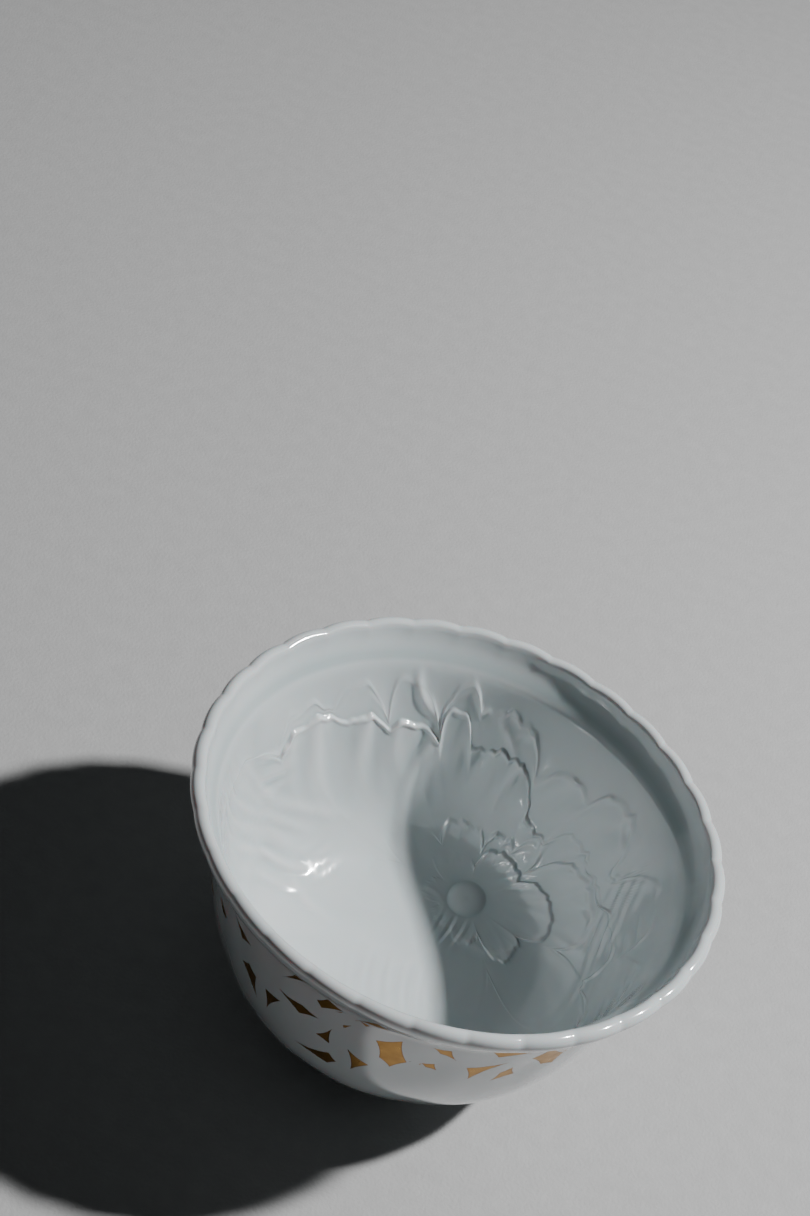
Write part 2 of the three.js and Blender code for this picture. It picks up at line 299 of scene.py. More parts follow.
def petals_of(whorl):
    """In every direction: how far the furthest petal reaches, as a share of the spoke, how far aside from
    its middle the spoke lies, from -1 to 1, and its lift. A petal is an arch: reach (1 - aside^3)^(1/3).
    A frill of waves is added to it, and the fine waves grow and fade in patches round the blossom."""
    middle, half_width, reach, lift = np.array(whorl["petals"], float).T[:, :, None]
    turn = (direction - np.radians(middle) + np.pi) % (2 * np.pi) - np.pi
    aside = turn / np.radians(half_width)
    arch = reach * np.cbrt(np.clip(1 - np.abs(aside) ** 3, 0, None))
    owner = arch.argmax(axis=0)
    pick = owner, np.arange(COLUMNS)
    patches = 1 + FRILL_SWING * np.sin(FRILL_PATCHES * direction)
    frill = waves(FRILL, direction) + waves(FINE_FRILL, direction) * patches
    margin = np.maximum(arch[pick], whorl["base"]) + whorl["frill"] * frill / spoke_length
    return margin, np.clip(aside[pick], -1, 1), lift[owner, 0]


whorls = [petals_of(whorl) for whorl in WHORLS]
margins = [HEART_RADIUS / spoke_length]
for margin, _, _ in whorls:
    margins.append(np.minimum(np.maximum(margin, margins[-1] + LEAST_WIDTH / spoke_length), LAST_MARGIN))
margins.append(np.ones(COLUMNS))
print("mean margins:", [round(float(m.mean()), 3) for m in margins])

# %% [markdown]
# Between two margins a petal rises from under the one inside it. It is fluted by soft folds that deepen
# towards its edge, it lies a little tilted so that its side passes over its neighbour, and its edge ends in
# a thin rolled bead. The step down to the next petal is one to two millimetres wide.

# %% Rows of the inside
UNDERLAP_LIFT = 0.1
GROOVE_LIFT = 0.2
HEART_LIFT = 1
HEART_ROUNDING, HEART_INNER = 1.3, 0.1
LAST_LIFT = 0.06
RISE_POWER = 1.6
SIDE_TILT = 0.13
HEIGHT_BLUR, TILT_BLUR = 7, 4
BEAD_WIDTH = 0.45
FOLDS = [[26, 1, 3.07], [13, 0.5, 1.2], [43, 0.35, 3.9]]
FOLD_TWIST = -0.3
HEART_ROWS = 10
STEP_ROWS = 3
LAST_ROWS = 10
ROW_CROWDING = 0.45


def crowded(count):
    """Shares from 0 to 1 that lie closer together at both ends: u - c sin(2 pi u) / (2 pi)."""
    u = np.linspace(0, 1, count)[:, None]
    return u - ROW_CROWDING * np.sin(2 * np.pi * u) / (2 * np.pi)


def petal_rows(number):
    """The rows between two margins, as shares of the spoke, and their lifts. The lift grows from the
    underlap to the petal's own as a power of the share walked. Folds ride on it and deepen towards the edge
    with the share walked w as w^3 (4 - 3 w). A bell of a bead lies at the edge."""
    inner, own = WHORLS[max(number - 1, 0)], WHORLS[number]
    start = margins[number] + inner["step"] / 2 / spoke_length
    end = margins[number + 1] - own["step"] / 2 / spoke_length
    walked = crowded(own["rows"])
    share = start + (end - start) * walked
    _, aside, height = whorls[number]
    height = smooth_round(height, HEIGHT_BLUR)
    top = own["lift"] * height + smooth_round(aside, TILT_BLUR) * SIDE_TILT * height
    under = GROOVE_LIFT if number == 0 else UNDERLAP_LIFT
    depth = own["fold"] * height * walked**3 * (4 - 3 * walked)
    folds = depth * waves(FOLDS, direction + FOLD_TWIST * (1 - walked))
    to_edge = (end - share) * spoke_length
    bead = own["bead"] * height * np.exp(-(((to_edge - BEAD_WIDTH / 2) / BEAD_WIDTH) ** 2))
    return share, under + (top - under) * walked**RISE_POWER + folds + bead


def step_between(upper, lower):
    """Rows down a petal's edge: an even walk, and a fall that is level at its top and bottom."""
    s = np.linspace(0, 1, STEP_ROWS + 2)[1:-1, None]
    fall = s**2 * (3 - 2 * s)
    return [a[-1] + (b[0] - a[-1]) * shape for (a, b), shape in zip(zip(upper, lower), (s, fall))]


def blossom_rows():
    """All rows of the inside from the heart to the crease under the mouth, as shares and lifts. The heart is
    a soft dome: at a share d of its radius it stands (1 - d^3)^HEART_ROUNDING of its height above the
    groove round it. The last rows sink to the plain wall as the square of the way left."""
    dome = np.linspace(HEART_INNER, 1, HEART_ROWS)[:, None]
    heart_lift = GROOVE_LIFT + (HEART_LIFT - GROOVE_LIFT) * (1 - dome**3) ** HEART_ROUNDING
    blocks = [[dome * margins[0], heart_lift * np.ones(COLUMNS)]]
    petals = [petal_rows(number) for number in range(len(WHORLS))]
    last_start = margins[-2] + WHORLS[-1]["step"] / 2 / spoke_length
    walked = np.linspace(0, 1, LAST_ROWS)[:, None]
    last_lift = LAST_LIFT * (1 - walked) ** 2 * np.ones(COLUMNS)
    petals.append([last_start + (1 - last_start) * walked, last_lift])
    for block in petals:
        blocks += [step_between(blocks[-1], block), block]
    return [np.vstack([block[part] for block in blocks]) for part in (0, 1)]


share, blossom_lift = blossom_rows()
x = HEART[0] + spokes[0] * share
y = HEART[1] + spokes[1] * share
print("rows of the inside:", len(share))
print("lifts from", blossom_lift.min().round(2), "to", blossom_lift.max().round(2))

# %% [markdown]
# Three kinds of smaller marks lie on the petals. A leaf is a broad oval whose rim steps up softly, for the
# sides of petals that show below the blossom's margins. A ridge is a thin cord along a bent line. A ruffle
# is a patch of fine parallel folds.

# %% Leaves, ridges and ruffles
LEAVES = [
    [4, 44, 17, 13, 90, 0.3], [-27, 36, 19, 13, 118, 0.3], [-46, 22, 20, 10, 160, 0.25],
    [28, 40, 17, 11, 60, 0.22], [42, 24, 18, 11, 15, 0.25], [-20, -10, 26, 15, 200, 0.25],
    [14, -28, 24, 14, 280, 0.25], [46, -8, 20, 12, 330, 0.2],
]
RIDGES = [
    [0.55, 1.3, (-26, 65), (-21, 59.5), (-12.5, 57)], [0.4, 1.3, (-11, 54), (-12.5, 45), (-10.5, 36)],
    [0.3, 1.6, (-10.5, 38), (-8, 31), (-3, 22)], [0.35, 1.1, (-59, 11), (-40, 19.5), (-22, 28.5)],
    [0.2, 0.9, (-48, 12), (-37, 17), (-28, 21)], [0.28, 0.7, (0, 22), (3.5, 21.5), (6, 18)],
    [0.25, 0.8, (-27, 13), (-22.5, 8.5), (-15, 6)], [0.28, 0.8, (22, 14.5), (16, 12.2), (8.5, 14.5)],
    [0.22, 0.9, (46.5, 42.5), (46, 37), (48, 33)], [0.22, 0.9, (4, 62), (8, 59), (11.5, 55)],
    [0.25, 0.9, (29, 18), (33, 15), (38, 12)], [0.22, 0.9, (46, 18), (47.5, 12), (48, 6)],
    [0.25, 0.8, (21, 31), (23, 36), (27, 41)],
]
RUFFLES = [
    [42, 14.5, 4.5, 4.5, 58, 3, 0.22], [49.5, 23, 5.5, 4.5, 59, 3.4, 0.22], [38, 5, 6, 5, 80, 4, 0.09],
    [54, 8, 6, 5, 85, 4.2, 0.09], [-48, 20, 6, 6, 50, 4.5, 0.22], [-40, 9, 12, 7, 33, 4.2, 0.17],
    [-54, 4, 10, 6, 30, 4, 0.17], [-30, 11, 6, 5, 20, 4, 0.15], [-23, 17, 4, 5, 60, 3, 0.12],
    [8, 16, 4, 3.5, 78, 1.9, 0.14], [-2, -4, 6, 9, 96, 2.6, 0.05], [-8, -36, 10, 8, 260, 4, 0.14],
    [-44, -24, 10, 6, 215, 3.8, 0.13], [30, -38, 10, 6, 305, 3.8, 0.14], [50, -14, 8, 6, 100, 4.4, 0.08],
]
LEAF_EDGE = 1.3
RIDGE_STEPS, RIDGE_FADE_START, RIDGE_FADE_SPAN = 41, 0.08, 0.84
RUFFLE_BEND, RUFFLE_BEND_LENGTH = 0.9, 5
SECOND_RUFFLE, SECOND_SPACING = 0.4, 1.7
MARKS_FADE = 4


def turned_to(centre_x, centre_y, lean):
    """Coordinates along and across a mark that leans from the x axis."""
    c, s = np.cos(np.radians(lean)), np.sin(np.radians(lean))
    return (x - centre_x) * c + (y - centre_y) * s, (y - centre_y) * c - (x - centre_x) * s


def leaf(centre_x, centre_y, half_length, half_breadth, lean, height):
    """An oval plate: a smooth step of the distance inside the oval, about (1 - root) times its breadth."""
    u, v = turned_to(centre_x, centre_y, lean)
    root = np.sqrt((u / half_length) ** 2 + (v / half_breadth) ** 2)
    return height / (1 + np.exp(-(1 - root) * half_breadth / LEAF_EDGE))


def ridge(height, width, first, middle, last):
    """A cord: a bell of the distance to a line that bends through three points. Its ends fade as a sine."""
    t = np.linspace(0, 1, RIDGE_STEPS)[:, None]
    pull = 2 * np.array(middle) - (np.array(first) + last) / 2
    walk = (1 - t) ** 2 * np.array(first) + 2 * (1 - t) * t * pull + t**2 * np.array(last)
    nearest = np.full(x.shape, np.inf)
    fade = np.zeros(x.shape)
    strengths = np.sin(np.pi * (RIDGE_FADE_START + RIDGE_FADE_SPAN * t[:, 0]))
    for (px, py), strength in zip(walk, strengths):
        away = np.hypot(x - px, y - py)
        fade = np.where(away < nearest, strength, fade)
        nearest = np.minimum(nearest, away)
    return height * fade * np.exp(-((nearest / width) ** 2))


def ruffle(centre_x, centre_y, half_length, half_breadth, lean, spacing, height):
    """Fine folds along the patch: a sine across it with a weaker, closer one, bent a little lengthways,
    under an oval bell."""
    u, v = turned_to(centre_x, centre_y, lean)
    phase = 2 * np.pi * (v + RUFFLE_BEND * np.sin(u / RUFFLE_BEND_LENGTH + centre_x)) / spacing
    patch = np.exp(-((u / half_length) ** 2) - (v / half_breadth) ** 2)
    return height * patch * (np.sin(phase) + SECOND_RUFFLE * np.sin(SECOND_SPACING * phase + centre_y))


marks_lift = sum(leaf(*sizes) for sizes in LEAVES)
marks_lift += sum(ridge(*sizes) for sizes in RIDGES)
marks_lift += sum(ruffle(*sizes) for sizes in RUFFLES)
fade_out = np.clip((1 - share) * spoke_length / MARKS_FADE, 0, 1)
away_from_heart = np.clip(np.hypot(x - HEART[0], y - HEART[1]) / HEART_RADIUS - 1, 0, 1)
inside_lift = blossom_lift + marks_lift * fade_out * away_from_heart
inside_way = np.hypot(x, y)
inside_azimuth = np.where(inside_way > 0, np.arctan2(y, x), 0)
print("marks lift the petals by", marks_lift.min().round(2), "to", marks_lift.max().round(2), "mm")

# %% [markdown]
# ## The outside
#
# The mouth and the wall are the plain section, turned. Hands and kiln leave them a little uneven: shallow
# flutes run down from the scallops and die out on the belly, and the whole wall swells and dips by a tenth
# or two of a millimetre. The wall below the neck needs half as many columns as the mouth.

# %% Mouth and wall
CHANNEL_ROWS, EDGE_ROWS, FLARE_ROWS = 8, 11, 7
WALL_ROWS, FOOT_ROWS = 46, 20
FLUTE_DEPTH, FLUTE_FADE, FLUTE_BREADTH = 0.16, 16, 0.7
SWELLS = [[3, 0.05, 0.3], [5, 0.07, 1.7], [9, 0.05, 4.0], [14, 0.04, 2.4]]
SWELL_DRIFT, SWELL_FADE = 0.02, 8
SPIRAL_HEIGHT, SPIRAL_PITCH, SPIRALS = 0.05, 4, 3
FOOT_ROWS_ABOVE, LAST_RING = 1, 0.5


def outside_lift(azimuth, way):
    """Flutes that fade with the way below the neck, swells that drift round as they go down, and the faint
    spirals that a wheel leaves. Swells and spirals fade towards the neck and the foot."""
    below = np.clip(way - NECK_AT, 0, None)
    rising = np.clip((way - EDGE_END) / (NECK_AT - EDGE_END), 0, 1)
    flutes = -FLUTE_DEPTH * notch_at(azimuth) ** FLUTE_BREADTH * np.exp(-below / FLUTE_FADE) * rising
    on_wall = np.clip(below / SWELL_FADE, 0, 1) * np.clip((WALL_END - way) / SWELL_FADE, 0, 1)
    spirals = SPIRAL_HEIGHT * np.sin(below / SPIRAL_PITCH + SPIRALS * azimuth)
    swells = waves(SWELLS, azimuth + SWELL_DRIFT * below) + spirals
    return flutes + swells * on_wall


def even(start, end, count):
    """Even ways from start to end, without the start."""
    return np.linspace(start, end, count + 1)[1:]


mouth_ways = np.concatenate([
    even(INSIDE_END, CHANNEL_END, CHANNEL_ROWS),
    even(CHANNEL_END, EDGE_END, EDGE_ROWS),
    even(EDGE_END, NECK_AT, FLARE_ROWS),
])
wall_ways = np.concatenate([
    even(NECK_AT, WALL_END - FOOT_ROWS_ABOVE, WALL_ROWS),
    even(WALL_END - FOOT_ROWS_ABOVE, SKIN_END - LAST_RING, FOOT_ROWS),
])
mouth_way, mouth_azimuth = np.broadcast_arrays(mouth_ways[:, None], azimuths)
wall_way, wall_azimuth = np.broadcast_arrays(wall_ways[:, None], azimuths[::2])

# %% One closed skin
def rings_to_faces(counts):
    """Faces over a stack of rings with a point at each end. Rings of equal count are joined by quads, and a
    ring with half the points of the one before it by three triangles to each of its steps."""
    quads, triangles = [], []
    starts = 1 + np.concatenate([[0], np.cumsum(counts)])
    step = np.arange(counts[0])
    triangles.append(np.stack([0 * step, 1 + step, 1 + (step + 1) % counts[0]], axis=1))
    for before, after, first, second in zip(counts, counts[1:], starts, starts[1:]):
        step = np.arange(after)
        here, there = second + step, second + (step + 1) % after
        if before == after:
            quads.append(np.stack([here, there, first + (step + 1) % before, first + step], axis=1))
            continue
        left, middle, right = (first + (2 * step + extra) % before for extra in range(3))
        triangles += [np.stack(face, axis=1) for face in
                      ((here, middle, left), (here, there, middle), (there, right, middle))]
    step = np.arange(counts[-1])
    last = starts[-2]
    end = np.full(counts[-1], starts[-1])
    triangles.append(np.stack([end, last + (step + 1) % counts[-1], last + step], axis=1))
    return np.vstack(quads), np.vstack(triangles)


def mesh_of(name, points, quads, triangles):
    """A mesh object from whole arrays. Its points are given in millimetres."""
    mesh = bpy.data.meshes.new(name)
    corners = np.concatenate([quads.ravel(), triangles.ravel()]).astype(np.int32)
    sizes = np.concatenate([np.full(len(quads), 4), np.full(len(triangles), 3)])
    mesh.vertices.add(len(points))
    mesh.vertices.foreach_set("co", (points * MM).astype(np.float32).ravel())
    mesh.loops.add(len(corners))
    mesh.loops.foreach_set("vertex_index", corners)
    mesh.polygons.add(len(sizes))
    mesh.polygons.foreach_set("loop_start", np.concatenate([[0], np.cumsum(sizes)[:-1]]).astype(np.int32))
    mesh.polygons.foreach_set("use_smooth", np.ones(len(sizes), bool))
    mesh.update(calc_edges=True)
    mesh.validate()
    piece = bpy.data.objects.new(name, mesh)
    bpy.context.scene.collection.objects.link(piece)
    return piece


def over_the_skin(heart, inner, mouth, wall, last):
    """One number for each point: the heart's, those of the three grids row by row, and the last point's."""
    return np.concatenate([[heart], inner.ravel(), mouth.ravel(), wall.ravel(), [last]])


heart_way, heart_azimuth = np.hypot(*HEART), np.arctan2(HEART[1], HEART[0])
mouth_lift, wall_lift = outside_lift(mouth_azimuth, mouth_way), outside_lift(wall_azimuth, wall_way)
way = over_the_skin(heart_way, inside_way, mouth_way, wall_way, SKIN_END - SAMPLE)
azimuth = over_the_skin(heart_azimuth, inside_azimuth, mouth_azimuth, wall_azimuth, 0)
lift = over_the_skin(HEART_LIFT, inside_lift, mouth_lift, wall_lift, 0)
points = skin(azimuth, way, lift)
points[-1] = 0, 0, RECESS_HEIGHT
ring_counts = [COLUMNS] * (len(inside_way) + len(mouth_ways)) + [COLUMNS // 2] * len(wall_ways)
quads, triangles = rings_to_faces(ring_counts)
bowl = mesh_of("porcelain_bowl", points, quads, triangles)
print("triangles in the bowl:", 2 * len(quads) + len(triangles))

# %% [markdown]
# ## The gold shards
#
# The gold on the outside lies in separate shards, flush with the glaze. It is colour and shine and no
# relief. A texture could hold the shards, but a picture goes soft. Here every point of the wall carries its
# distance to each side of the nearest shard, and the shader draws gold where all of them are below zero,
# so the corners stay sharp however near one looks. It has a price: where two shards lie close, a cell of
# the mesh can hold sides of both, and a few stray specks show there. Glass-like glaze breaks in hollow
# curves, so each side of a shard is an arc that bends inwards.

# %% Shards of gold
DART = [(1, 0), (-1, 1), (-1, -1)]
BLADE = [(0.6, 1), (-1, 0), (1, -1)]
SPUR = [(1, -0.4), (-0.5, 1), (-1, -1)]
KITE = [(1, -0.1), (-0.5, 1), (-1, 0.2), (-0.8, -1)]
SLIVER = [(1, 0.5), (0.2, 1), (-1, 0.6), (0.1, -1)]
CLEAVER = [(1, -1), (0.4, 1), (-1, 0.3), (-1, -1)]
BLOCK = [(1, -0.6), (0.6, 1), (-0.5, 0.7), (-1, 0), (-0.4, -1)]
# The azimuth of a shard's middle, its way below the edge, its length, breadth and lean, and its kind.
SHARDS = [
    [226, 15, 6.4, 3, 146, SPUR], [232, 26, 8.6, 4.4, 295, KITE], [239, 26, 8, 3.8, 80, BLADE],
    [247.5, 19.5, 9, 3.4, 4, SLIVER], [246, 10.3, 11.4, 4.4, 50, BLADE], [254.6, 11.4, 5, 3, 40, CLEAVER],
    [260.8, 14.8, 3, 1, 49, DART], [265.2, 10.2, 6, 2.6, 24, BLADE], [256.5, 21.5, 5.6, 3, 78, DART],
    [254.5, 31, 8.8, 4.4, 198, KITE], [266, 26, 3.8, 7.4, 15, DART], [272, 18, 11, 5.8, 99, BLOCK],
    [283.7, 12.8, 6.4, 2.4, 144, SLIVER], [282, 19, 3.8, 2.2, 152, SLIVER], [292, 8.8, 18, 4.2, 149, SPUR],
    [294.3, 17.8, 9, 4.8, 45, SPUR], [301.5, 21.4, 6.4, 3.6, 70, SLIVER], [310.5, 16.5, 10, 5.6, 122, BLOCK],
    [316, 13.5, 3.6, 1.4, 145, DART],
]
SIDES = 5
SIDE_BEND = 0.06
NO_SIDE, NO_SHARD = -9.0, 5.0
FAR = 0.6
KINDS = [DART, BLADE, SPUR, KITE, SLIVER, CLEAVER, BLOCK]
SEED, TRIES, HIDDEN_SHARDS = 20, 900, 44
HIDDEN_SIDE, DROPS, LENGTHS = (322, 582), (5, 14, 32), (2.5, 7, 12)
SLENDERNESS, LEANS = (0.32, 0.62), (20, 160)
ROOM_BETWEEN = 1.8
WALL_RADIUS = 42


def shards_of_the_hidden_side():
    """Shards in keeping with the seen ones: places, sizes and kinds drawn by lot, with room between them.
    The room is the distance of two middles along the wall, less half the sum of their lengths."""
    lot = np.random.default_rng(SEED)
    found = []
    for _ in range(TRIES):
        middle, drop = lot.uniform(*HIDDEN_SIDE), lot.triangular(*DROPS)
        length = lot.triangular(*LENGTHS)
        breadth, lean = length * lot.uniform(*SLENDERNESS), lot.uniform(*LEANS)
        kind = KINDS[lot.integers(len(KINDS))]
        gaps = []
        for other_middle, other_drop, other_length, *_ in found + SHARDS:
            turn = (middle - other_middle + 180) % 360 - 180
            apart = np.hypot(np.radians(turn) * WALL_RADIUS, drop - other_drop)
            gaps.append(apart - (length + other_length) / 2 - ROOM_BETWEEN)
        if min(gaps) > 0 and len(found) < HIDDEN_SHARDS:
            found.append([middle, drop, length, breadth, lean, kind])
    return found


shards = SHARDS + shards_of_the_hidden_side()
print("shards:", len(shards))


# %% Distances to the shards
def side_distances(u, v, length, breadth, kind):
    """The signed distance to each side, above zero outside the shard. A kind gives its corners, as shares of
    half the length and half the breadth. A side is an arc through two of them that bends in by SIDE_BEND of
    its length: its distance is the arc's radius less the distance from its centre, or the distance past its
    chord if that is more."""
    corners = np.array(kind) * (length / 2, breadth / 2)
    distances = []
    for start, end in zip(corners, np.roll(corners, -1, axis=0)):
        chord = end - start
        size = np.hypot(*chord)
        out = np.array([chord[1], -chord[0]]) / size
        sag = SIDE_BEND * size
        radius = (size**2 / 4 + sag**2) / (2 * sag)
        centre = (start + end) / 2 + out * (radius - sag)
        arc = radius - np.hypot(u - centre[0], v - centre[1])
        past_chord = (u - start[0]) * out[0] + (v - start[1]) * out[1]
        distances.append(np.maximum(arc, past_chord))
    while len(distances) < SIDES:
        distances.append(np.full(u.shape, NO_SIDE))
    return np.stack(distances)


def distances_to_shards():
    """For every point of the skin the distances to the five sides of its nearest shard, and how much
    further than FAR it lies from that shard."""
    nearest = np.full((SIDES, len(way)), NO_SHARD)
    radius = on_section(way)[0]
    on_wall = (way > EDGE_END) & (way < WALL_END)
    for middle, drop, length, breadth, lean, kind in shards:
        turn = (azimuth - np.radians(middle) + np.pi) % (2 * np.pi) - np.pi
        right, up = turn * radius, EDGE_END + drop - way
        c, s = np.cos(np.radians(lean)), np.sin(np.radians(lean))
        sides = side_distances(right * c + up * s, up * c - right * s, length, breadth, kind)
        closer = on_wall & (sides.max(axis=0) < nearest.max(axis=0))
        nearest = np.where(closer, sides, nearest)
    return np.vstack([nearest, nearest.max(axis=0) - FAR])


shard_sides = distances_to_shards()
for name, three in (("shard_sides_a", shard_sides[:3]), ("shard_sides_b", shard_sides[3:])):
    bowl.data.attributes.new(name, "FLOAT_VECTOR", "POINT").data.foreach_set(
        "vector", three.T.astype(np.float32).ravel()
    )
print("gold points:", int((shard_sides.max(axis=0) < 0).sum()))

# %% [markdown]
# ## Where the glaze is thick, thin or missing
#
# Glaze melts and runs: it gathers in the hollows, where it looks deeper and cooler, and thins on the ridges.
# A band just past the crease under the mouth is darkened the same way: that band is painted shade. The foot
# ring is wiped clean before the firing, or the bowl would stick to the kiln shelf. Both are told to the
# shader as one number for each point.

# %% Glaze depth and bare clay
POOL_BLUR = 9
# The crease numbers set a dark band just past the crease under the mouth: painted shade.
CREASE_SHADE, CREASE_SHADE_AT, CREASE_SHADE_WIDTH = 0.5, 1.5, 1.6
FLUTE_POOL = 0.6
FOOT_POOL, FOOT_POOL_WIDTH = 0.5, 1.5
WIPED_MARGIN = 0.5


def blurred(values, steps):
    """A running mean over a patch of the grid: round the circle, and along the rows with held ends."""
    result = np.zeros_like(values)
    for shift in range(-steps, steps + 1):
        result += np.roll(values, shift, axis=1)
    result /= 2 * steps + 1
    padded = np.pad(result, ((steps, steps), (0, 0)), mode="edge")
    summed = np.cumsum(np.vstack([0 * padded[:1], padded]), axis=0)
    return (summed[2 * steps + 1:] - summed[:-2 * steps - 1]) / (2 * steps + 1)


inside_pool = blurred(inside_lift, POOL_BLUR) - inside_lift
# Painted shade: a dark band all round, just past the crease under the mouth.
crease_painted_shade = CREASE_SHADE * np.exp(-(((mouth_way - INSIDE_END - CREASE_SHADE_AT) / CREASE_SHADE_WIDTH) ** 2))
foot_pool = FOOT_POOL * np.exp(-(((wall_way - WALL_END) / FOOT_POOL_WIDTH) ** 2))
# This depth holds the real glaze pooling and the painted shade past the crease.
pool_and_shade = over_the_skin(0, inside_pool, crease_painted_shade, -FLUTE_POOL * wall_lift + foot_pool, 0)
foot_middle = WALL_END + FOOT_TOP_HEIGHT + FOOT_WIDTH / 2
bare = np.clip((FOOT_WIDTH / 2 + WIPED_MARGIN - np.abs(way - foot_middle)) / WIPED_MARGIN, 0, 1)
for name, values in (("glaze_pool_and_crease_shade", pool_and_shade), ("bare_clay", bare)):
    bowl.data.attributes.new(name, "FLOAT", "POINT").data.foreach_set("value", values.astype(np.float32))
print("glaze pools from", pool_and_shade.min().round(2), "to", pool_and_shade.max().round(2))

# %% A flat map of the skin
DISC_RADIUS = 1 / (2 + 2**0.5)
DISC_MARGIN = 1.03


def add_map(piece):
    """Two discs that touch on the diagonal of a unit square: the inside and the mouth on one, the outside on
    the other. A corner lies at its way along the section from the middle of its disc, in the direction of
    its azimuth."""
    corners = np.empty(len(piece.data.loops), np.int32)
    piece.data.loops.foreach_get("vertex_index", corners)
    starts = np.empty(len(piece.data.polygons), np.int32)
    piece.data.polygons.foreach_get("loop_start", starts)
    face_sizes = np.diff(np.append(starts, len(corners)))
    face_way = np.add.reduceat(way[corners], starts) / face_sizes
    split = (CHANNEL_END + EDGE_END) / 2
    outer = np.repeat(face_way > split, face_sizes)
    distance = np.where(outer, SKIN_END - way[corners], way[corners])
    reach = max(split, SKIN_END - split) * DISC_MARGIN
    middle = np.where(outer, 1 - DISC_RADIUS, DISC_RADIUS)
    u = middle + DISC_RADIUS * distance / reach * np.cos(azimuth[corners])
    v = middle + DISC_RADIUS * distance / reach * np.sin(azimuth[corners])
    layer = piece.data.uv_layers.new(name="OFBake")
    layer.uv.foreach_set("vector", np.stack([u, v], axis=1).astype(np.float32).ravel())


add_map(bowl)

# %% [markdown]
# ## Finishes
#
# Porcelain is white clay under a clear, faintly blue-green glaze. Light enters it a little way before it
# comes back, and the glaze adds a hard clear shine. The Principled shader has both, as subsurface and coat.
# Small groups of nodes give what changes over the surface: the tint of the glaze, deeper and darker as
# painted shade just past the crease under the mouth, its fine unevenness, and the gold.

# %% Helpers for node groups
def new_group(name, inputs, outputs):
    """An empty shader group with the named sockets, and its two end nodes."""
    group = bpy.data.node_groups.new(name, "ShaderNodeTree")
    for socket, kind, value in inputs:
        made = group.interface.new_socket(socket, in_out="INPUT", socket_type=kind)
        made.default_value = value
    for socket, kind in outputs:
        group.interface.new_socket(socket, in_out="OUTPUT", socket_type=kind)
    return group, group.nodes.new("NodeGroupInput"), group.nodes.new("NodeGroupOutput")


def node(tree, kind, inputs=(), **settings):
    """A node with its settings, whose inputs are given by place or name as values or as other sockets."""
    made = tree.nodes.new(kind)
    for key, value in settings.items():
        setattr(made, key, value)
    for key, value in dict(inputs).items():
        if isinstance(value, bpy.types.NodeSocket):
            tree.links.new(value, made.inputs[key])
        else:
            made.inputs[key].default_value = value
    return made


def maths(tree, operation, a, b):
    """The sum, product, largest or other operation of two values."""
    return node(tree, "ShaderNodeMath", {0: a, 1: b}, operation=operation).outputs[0]


def scaled(tree, value, factor, offset):
    """A value times a factor, plus an offset."""
    return node(tree, "ShaderNodeMath", {0: value, 1: factor, 2: offset}, operation="MULTIPLY_ADD").outputs[0]


def ramp(tree, value, start, end):
    """0 on the near side of start and 1 past end, with an even slope between."""
    return node(tree, "ShaderNodeMapRange", {0: value, 1: start, 2: end, 3: 0.0, 4: 1.0}).outputs[0]


def mixed(tree, share_of_b, a, b):
    """A colour between a and b."""
    return node(tree, "ShaderNodeMix", {0: share_of_b, 6: a, 7: b}, data_type="RGBA").outputs[2]


def clouds(tree, scale, detail):
    """A soft noise over Object coordinates, about 0.5 on average. The scale is in waves to a metre."""
    place = node(tree, "ShaderNodeTexCoord").outputs["Object"]
    noise = node(tree, "ShaderNodeTexNoise", {"Vector": place, "Scale": scale, "Detail": detail})
    return noise.outputs["Fac"]


# %% Groups of nodes
FLOAT, COLOUR = "NodeSocketFloat", "NodeSocketColor"
DEPTH_OF_POOL_AND_SHADE, DEPTH_OF_PLAIN_GLAZE = 1.1, 0.25
SPECK_CELLS, SPECK_RARITY = 190.0, 0.93
FRAY, SOFT_EDGE = 0.16, 0.02
RIM_FROM, RIM_TO = -0.28, -0.05
LACQUER_IN_LEAF, LACQUER_AT_RIM = 0.55, 0.6
LEAF_ROUGHNESS, LEAF_ROUGHNESS_SPREAD = 0.2, 0.22


def glaze_tint_and_shade_group():
    """The glaze's colour: thin to deep where the glaze gathers, and deep as painted shade just past the
    crease under the mouth, with a slow drift of cloud between.
    """
    group, start, end = new_group(
        "glaze tint and crease shade",
        [("Pool and shade", FLOAT, 0.0), ("Thin", COLOUR, (1, 1, 1, 1)), ("Deep and shaded", COLOUR, (0.5, 0.5, 0.5, 1)),
         ("Cloud", FLOAT, 0.2)],
        [("Colour", COLOUR)],
    )
    drift = maths(group, "SUBTRACT", clouds(group, 55.0, 3.0), 0.5)
    drift = maths(group, "MULTIPLY", drift, start.outputs["Cloud"])
    depth = scaled(group, start.outputs["Pool and shade"], DEPTH_OF_POOL_AND_SHADE, DEPTH_OF_PLAIN_GLAZE)
    depth = maths(group, "ADD", depth, drift)
    depth.node.use_clamp = True
    tint = mixed(group, depth, start.outputs["Thin"], start.outputs["Deep and shaded"])
    group.links.new(tint, end.inputs["Colour"])
    return group


def kiln_specks_group():
    """A few tiny iron specks: where a point lies near the middle of its cell, in one cell of many."""
    group, start, end = new_group("kiln specks", [("Size", FLOAT, 0.1)], [("Mask", FLOAT)])
    place = node(group, "ShaderNodeTexCoord").outputs["Object"]
    cells = node(group, "ShaderNodeTexVoronoi", {"Vector": place, "Scale": SPECK_CELLS})
    near = maths(group, "LESS_THAN", cells.outputs["Distance"], start.outputs["Size"])
    lot_of_cell = node(group, "ShaderNodeSeparateColor", {0: cells.outputs["Color"]}).outputs[0]
    chosen = maths(group, "GREATER_THAN", lot_of_cell, SPECK_RARITY)
    group.links.new(maths(group, "MULTIPLY", near, chosen), end.inputs["Mask"])
    return group


